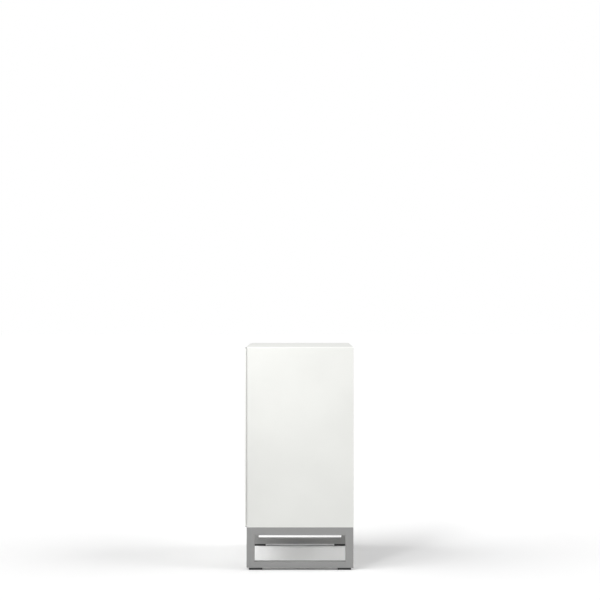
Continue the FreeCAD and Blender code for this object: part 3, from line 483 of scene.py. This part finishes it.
# ---------------------------------------------------------------- bin rails on the door
lo, hi = box_of("door_bin_top")
plug_lo, plug_hi = box_of("door_liner")
RAIL_GAP, RAIL_FAR, RAIL_DEPTH = 1.0 * MM, 7.0 * MM, 11 * MM
RAIL_FOOT, RAIL_HEAD = 34 * MM, 40 * MM
HOOK_WIDE, HOOK_DEPTH, HOOK_LOW, HOOK_HIGH = 1.4 * MM, 8 * MM, 8 * MM, 26 * MM
bins = [box_of(f"door_bin_{level}") for level in ("low", "middle", "top")]
work = bmesh.new()
for edge_x, out in ((lo.x, -1), (hi.x, 1)):
    xs = sorted((edge_x + out * RAIL_GAP, edge_x + out * RAIL_FAR))
    bar(work, (xs[0], plug_hi.y, plug_lo.z + RAIL_FOOT),
        (xs[1], plug_hi.y + RAIL_DEPTH, plug_hi.z - RAIL_HEAD), 2.5 * MM, 4)
    xs = sorted((edge_x, edge_x + out * HOOK_WIDE))
    for bin_lo, _ in bins:
        bar(work, (xs[0], plug_hi.y, bin_lo.z + HOOK_LOW),
            (xs[1], plug_hi.y + HOOK_DEPTH, bin_lo.z + HOOK_HIGH), 0.4 * MM)
new_piece("bin_rails", work, "liner_plastic", "door")

work = bmesh.new()
SIDE_MARGIN, END_MARGIN, TOP_MARGIN = 20 * MM, 16 * MM, 30 * MM
PANEL_SUNK, PANEL_RAISED = 1 * MM, 1.6 * MM
panel_starts = [bin_hi.z for _, bin_hi in bins]
panel_ends = [bin_lo.z for bin_lo, _ in bins[1:]] + [plug_hi.z - TOP_MARGIN]
for start, end in zip(panel_starts, panel_ends):
    bar(work, (lo.x + SIDE_MARGIN, plug_hi.y - PANEL_SUNK, start + END_MARGIN),
        (hi.x - SIDE_MARGIN, plug_hi.y + PANEL_RAISED, end - END_MARGIN), 1.5 * MM, 4)
new_piece("door_embossing", work, "liner_plastic", "door")

# ---------------------------------------------------------------- ice box and flap
lo, hi = box_of("ice_box")
work = bmesh.new()
sheet = 1.5 * MM
# The open front has a broken edge and the closed back a folded one.
BROKEN, FOLD = 0.3 * MM, 1 * MM
outside = [(0, lo.y + BROKEN), (0, hi.y - FOLD), (FOLD, hi.y)]
inside = [(sheet + FOLD, hi.y - sheet), (sheet, hi.y - sheet - FOLD), (sheet, lo.y + BROKEN),
          (sheet - BROKEN, lo.y), (BROKEN, lo.y)]
profile_loft(work, (lo.x, hi.x), (lo.z, hi.z), 8 * MM, "Y", outside[::-1] + inside[::-1])
new_piece("ice_sleeve", work, "aluminium", "cabinet", replaces=("ice_box",))


def flat_channel(name, points, radius, flat, material, body):
    """A tube along a level path, pressed flat to a share of its height."""
    curve = bpy.data.curves.new(name, "CURVE")
    curve.dimensions = "3D"
    curve.bevel_depth = radius
    curve.bevel_resolution = 5
    curve.use_fill_caps = True
    spline = curve.splines.new("POLY")
    spline.points.add(len(points) - 1)
    for spot, point in zip(spline.points, points):
        spot.co = (*point, 1)
    holder = bpy.data.objects.new(name + "_path", curve)
    mesh = bpy.data.meshes.new_from_object(holder)
    bpy.data.objects.remove(holder)
    work = bmesh.new()
    work.from_mesh(mesh)
    middle = points[0][2]
    for vert in work.verts:
        vert.co.z = middle + (vert.co.z - middle) * flat
    new_piece(name, work, material, body)


BEND_STEPS = 6


def bend(points, radius):
    """Round the corners of a path with arcs."""
    spots = [Vector(point) for point in points]
    path = [spots[0]]
    for before, corner, after in zip(spots, spots[1:], spots[2:]):
        come = (corner - before).normalized()
        leave = (after - corner).normalized()
        turn = come.angle(leave)
        reach = radius * math.tan(turn / 2)
        start = corner - come * reach
        centre = start + (leave - come * come.dot(leave)).normalized() * radius
        axis = come.cross(leave)
        for step in range(BEND_STEPS + 1):
            swing = Matrix.Rotation(turn * step / BEND_STEPS, 3, axis)
            path.append(centre + swing @ (start - centre))
    path.append(spots[-1])
    return path


CHANNEL_PITCH, CHANNEL_INSET, CHANNEL_ENDS = 26 * MM, 22 * MM, 40 * MM
channel_rows = int((hi.y - lo.y - CHANNEL_ENDS) / CHANNEL_PITCH)
route = []
for row in range(channel_rows):
    ends = (lo.x + CHANNEL_INSET, hi.x - CHANNEL_INSET)
    ends = ends if row % 2 == 0 else ends[::-1]
    route += [(x, lo.y + CHANNEL_INSET + row * CHANNEL_PITCH, lo.z + sheet) for x in ends]
flat_channel("evaporator_channel", bend(route, 10 * MM), 3.4 * MM, 0.5, "aluminium", "cabinet")

lo, hi = box_of("ice_box_flap")
work = bmesh.new()
bar(work, lo, hi, 1.4 * MM, 4)
FLAP_MARGIN, LINE_OUT, LINE_IN = 4 * MM, 0.8 * MM, 0.6 * MM
LIP_HALF, LIP_OUT, LIP_IN, LIP_LOW, LIP_HIGH = (size * MM for size in (34, 7, 1, 3, 8))
raised_lines = [(hi.z - 12 * MM, hi.z - 9 * MM), (lo.z + 20 * MM, lo.z + 22 * MM),
                (lo.z + 25 * MM, lo.z + 27 * MM)]
for line_low, line_high in raised_lines:
    bar(work, (lo.x + FLAP_MARGIN, lo.y - LINE_OUT, line_low),
        (hi.x - FLAP_MARGIN, lo.y + LINE_IN, line_high), 0.5 * MM)
bar(work, (-LIP_HALF, lo.y - LIP_OUT, lo.z + LIP_LOW), (LIP_HALF, lo.y + LIP_IN, lo.z + LIP_HIGH),
    1.6 * MM, 4)
new_piece("freezer_flap", work, "white_plastic", "ice_flap", replaces=("ice_box_flap",))

# ---------------------------------------------------------------- thermostat
lo, hi = box_of("thermostat_knob")
centre = (lo + hi) / 2
radius = (hi.x - lo.x) / 2
RIDGES, RIDGE_POINTS, RIDGE_DEPTH = 36, 4, 0.45 * MM
work = bmesh.new()
# Each level is a share of the radius, a place along Y and whether it has ridges.
levels = [(1.0, hi.y, 0), (1.0, hi.y - 2 * MM, 0), (0.94, hi.y - 2.6 * MM, 1),
          (0.90, lo.y + 1.5 * MM, 1), (0.84, lo.y + 0.3 * MM, 0), (0.72, lo.y, 0), (0.02, lo.y, 0)]
rings = []
for share, place, ridged in levels:
    ring = []
    for step in range(RIDGES * RIDGE_POINTS):
        angle = 2 * math.pi * step / (RIDGES * RIDGE_POINTS)
        reach = radius * share - ridged * RIDGE_DEPTH * (step % RIDGE_POINTS in (0, 1))
        ring.append((centre.x + reach * math.cos(angle), place, centre.z + reach * math.sin(angle)))
    rings.append(ring)
loft(work, rings)
new_piece("knob", work, "white_plastic", "knob", replaces=("thermostat_knob",))
POINTER_HALF, POINTER_OUT, POINTER_IN = 0.8 * MM, 0.25 * MM, 0.4 * MM
POINTER_FROM, POINTER_TO = 0.30, 0.80
work = bmesh.new()
bar(work, (centre.x - POINTER_HALF, lo.y - POINTER_OUT, centre.z + radius * POINTER_FROM),
    (centre.x + POINTER_HALF, lo.y + POINTER_IN, centre.z + radius * POINTER_TO), 0.2 * MM)
new_piece("knob_pointer", work, "marking", "knob")

dial_y = box_of("thermostat_housing")[0].y - 0.06 * MM
DIAL_STEPS, DIAL_SWEEP, DIAL_GAP = 7, 270, 3.6 * MM
DIGIT_SIZE, DIGIT_DEPTH = 4.2 * MM, 0.08 * MM
for mark in range(DIAL_STEPS + 1):
    angle = math.radians(90 - DIAL_SWEEP * mark / DIAL_STEPS)
    text = bpy.data.curves.new(f"dial_{mark}", "FONT")
    text.body = str(mark)
    text.size = DIGIT_SIZE
    text.extrude = DIGIT_DEPTH
    text.align_x = "CENTER"
    text.align_y = "CENTER"
    holder = bpy.data.objects.new(f"dial_text_{mark}", text)
    mesh = bpy.data.meshes.new_from_object(holder)
    bpy.data.objects.remove(holder)
    reach = radius + DIAL_GAP
    place = Vector((centre.x + reach * math.cos(angle), dial_y, centre.z + reach * math.sin(angle)))
    mesh.transform(Matrix.Translation(place) @ Matrix.Rotation(math.radians(90), 4, "X"))
    work = bmesh.new()
    work.from_mesh(mesh)
    new_piece(f"dial_{mark}", work, "marking", "cabinet")

lo, hi = box_of("lamp_lens")
LENS_GAP, LENS_RIBS = 0.1 * MM, 12
PRISM_INSET, PRISM_HALF, PRISM_DOWN, PRISM_UP = 2 * MM, 1.2 * MM, 0.8 * MM, 0.4 * MM
work = bmesh.new()
bar(work, (lo.x + LENS_GAP, lo.y, lo.z), (hi.x - LENS_GAP, hi.y, hi.z), 0.6 * MM, 3)
for rib in range(LENS_RIBS):
    y = lo.y + (hi.y - lo.y) * (rib + 0.5) / LENS_RIBS
    bar(work, (lo.x + PRISM_INSET, y - PRISM_HALF, lo.z - PRISM_DOWN),
        (hi.x - PRISM_INSET, y + PRISM_HALF, lo.z + PRISM_UP), 0.4 * MM)
new_piece("lamp_cover", work, "clear_plastic", "cabinet", replaces=("lamp_lens",))

# ---------------------------------------------------------------- compressor
lo, hi = box_of("compressor")
foot_x = (lo.x + hi.x) / 2
foot_y = (lo.y + hi.y) / 2
CAN_RADIUS = 58 * MM
FOOT, FOOT_EDGE = 3 * MM, 0.6 * MM
# The two halves of the can meet in a seam at this share of its height.
SEAM_SHARE, SEAM_ABOVE = 0.52, 4 * MM
DOME_SHARE, DOME_SQUARE, DOME_RISE = 0.955, 0.55, 1.25
body_low = lo.z + FOOT
seam_z = body_low + (hi.z - body_low) * SEAM_SHARE
can = [(0, body_low), (0.70, body_low), (0.86, body_low + 5 * MM),
       (0.93, body_low + 16 * MM), (0.95, seam_z - 4 * MM),
       (0.97, seam_z - 3 * MM), (1.0, seam_z - 2.4 * MM),
       (1.0, seam_z + 2.4 * MM), (0.97, seam_z + 3 * MM),
       (DOME_SHARE, seam_z + SEAM_ABOVE)]
crown = hi.z - seam_z - SEAM_ABOVE
can += [(DOME_SHARE * cosine ** DOME_SQUARE, seam_z + SEAM_ABOVE + crown * sine ** DOME_RISE)
        for sine, cosine in quarter(12)]
work = bmesh.new()
turned(work, [(CAN_RADIUS * share, z) for share, z in can], (foot_x, foot_y, 0), "Z", 96)
profile_loft(work, (lo.x, hi.x), (lo.y, hi.y), 12 * MM, "Z",
             [(FOOT_EDGE, lo.z), (0, lo.z + FOOT_EDGE),
              (0, body_low - FOOT_EDGE), (FOOT_EDGE, body_low)])
RUNNER_X, RUNNER_HALF, RUNNER_REACH = 34 * MM, 3 * MM, 40 * MM
RUNNER_SUNK, RUNNER_TALL = 0.5 * MM, 6 * MM
for out in (-1, 1):
    runner_x = foot_x + out * RUNNER_X
    bar(work, (runner_x - RUNNER_HALF, foot_y - RUNNER_REACH, body_low - RUNNER_SUNK),
        (runner_x + RUNNER_HALF, foot_y + RUNNER_REACH, body_low + RUNNER_TALL), 1.5 * MM, 3)
new_piece("compressor_can", work, "black_steel", "cabinet", replaces=("compressor",))


ISLAND_WITHIN = 0.01 * MM
WASHER, HEAD_EDGE = 0.9 * MM, 0.5 * MM
WASHER_HOLE, HEAD_SHARE, HEAD_TOP_SHARE = 0.5, 0.84, 0.74


def hex_heads(name, node, body):
    """Hexagon heads with washers where a node's round heads are."""
    mesh = frame["nodes"][node].data
    work = bmesh.new()
    work.from_mesh(mesh)
    bmesh.ops.remove_doubles(work, verts=work.verts, dist=ISLAND_WITHIN)
    left_over = set(work.verts)
    boxes = []
    while left_over:
        todo = [left_over.pop()]
        island = []
        while todo:
            vert = todo.pop()
            island.append(vert.co.copy())
            for edge in vert.link_edges:
                other = edge.other_vert(vert)
                if other in left_over:
                    left_over.remove(other)
                    todo.append(other)
        boxes.append((Vector(map(min, zip(*island))), Vector(map(max, zip(*island)))))
    work.free()
    boxes.sort(key=lambda pair: tuple(pair[0]))
    made = bmesh.new()
    for low_corner, high_corner in boxes:
        middle = (low_corner + high_corner) / 2
        reach = (high_corner.x - low_corner.x) / 2
        bottom, top = low_corner.z, high_corner.z
        seat = bottom + WASHER
        turned(made, [(reach, bottom), (reach, seat), (reach * WASHER_HOLE, seat)],
               (middle.x, middle.y, 0), "Z", 32)
        turned(made, [(reach * HEAD_SHARE, seat), (reach * HEAD_SHARE, top - HEAD_EDGE),
                      (reach * HEAD_TOP_SHARE, top)], (middle.x, middle.y, 0), "Z", 6)
    new_piece(name, made, "zinc_steel", body, replaces=(node,))


hex_heads("foot_bolts", "compressor_bolts", "cabinet")

# ---------------------------------------------------------------- screws on the back
lo, hi = box_of("back_panel")
SCREW_IN_X, SCREW_IN_Z = 12 * MM, 10 * MM
# Each point is a radius and a height over the panel, in millimetres, with a dished middle.
screw = [(3.6, 0), (3.6, 0.8), (2.6, 1.9), (0.9, 2.0), (0.7, 1.2)]
work = bmesh.new()
for x in (lo.x + SCREW_IN_X, 0, hi.x - SCREW_IN_X):
    for z in (lo.z + SCREW_IN_Z, hi.z - SCREW_IN_Z):
        turned(work, [(reach * MM, hi.y + rise * MM) for reach, rise in screw], (x, 0, z), "Y", 24)
new_piece("back_screws", work, "zinc_steel", "cabinet")

# ---------------------------------------------------------------- camera, floor and light
right_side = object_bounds()[1][0]
lo, hi = box_of("stand_loop_right")
CAMERA_HEIGHT = 1.031
CAMERA_DISTANCE = 4.318
LENS = 67.86
camera_data = bpy.data.cameras.new("camera")
camera_data.lens = LENS
camera = bpy.data.objects.new("camera", camera_data)
camera.location = (right_side + CAMERA_DISTANCE, (lo.y + hi.y) / 2, CAMERA_HEIGHT)
camera.rotation_euler = (math.radians(90), 0, math.radians(90))
bpy.context.collection.objects.link(camera)
bpy.context.scene.camera = camera

FLOOR_HALF = 30
floor_corners = [(x * FLOOR_HALF, y * FLOOR_HALF, 0)
                 for x, y in ((-1, -1), (1, -1), (1, 1), (-1, 1))]
floor_mesh = bpy.data.meshes.new("floor")
floor_mesh.from_pydata(floor_corners, [], [(0, 1, 2, 3)])
floor = bpy.data.objects.new("floor", floor_mesh)
bpy.context.collection.objects.link(floor)
floor_material = new_material("floor_material", (0.965, 0.965, 0.965), 0.9)
vary_colour(floor_material, (0.962, 0.962, 0.962), (0.968, 0.968, 0.968), 1.5)
floor.data.materials.append(floor_material)


def aim(lamp, direction):
    """Point a lamp along a direction and put it in the scene."""
    lamp.rotation_euler = Vector(direction).to_track_quat("-Z", "Y").to_euler()
    bpy.context.collection.objects.link(lamp)


def sun(name, direction, strength, softness):
    """Even light from one side, with soft shadows."""
    data = bpy.data.lights.new(name, "SUN")
    data.energy = strength
    data.angle = math.radians(softness)
    aim(bpy.data.objects.new(name, data), direction)


def spot_light(name, place, target, cone, size, power):
    """A soft-edged cone of light on one part of the object."""
    data = bpy.data.lights.new(name, "SPOT")
    data.spot_size = math.radians(cone)
    data.spot_blend = 1.0
    data.shadow_soft_size = size
    data.energy = power
    lamp = bpy.data.objects.new(name, data)
    lamp.location = place
    aim(lamp, Vector(target) - Vector(place))


# A sun is a direction, a strength and a spread in degrees.
sun("door_side_sun", (-0.25, 1.0, -1.15), 1.62, 42)
sun("back_side_sun", (-0.05, -1.0, -0.85), 1.05, 34)
spot_light("high_left", (1.3, -0.6, 2.0), (0.22, -0.08, 0.86), 38, 0.2, 62)

# The world lights the object less than it fills the view.
WORLD_LIGHTING, WORLD_SEEN = 0.475, 1.0
world = bpy.data.worlds.new("studio")
world.use_nodes = True
studio = world.node_tree
backdrop = studio.nodes["Background"]
backdrop.inputs["Color"].default_value = (1, 1, 1, 1)
seen = studio.nodes.new("ShaderNodeLightPath")
level = studio.nodes.new("ShaderNodeMapRange")
level.inputs["To Min"].default_value = WORLD_LIGHTING
level.inputs["To Max"].default_value = WORLD_SEEN
studio.links.new(seen.outputs["Is Camera Ray"], level.inputs["Value"])
studio.links.new(level.outputs[0], backdrop.inputs["Strength"])
bpy.context.scene.world = world
bpy.context.scene.view_settings.view_transform = "Standard"
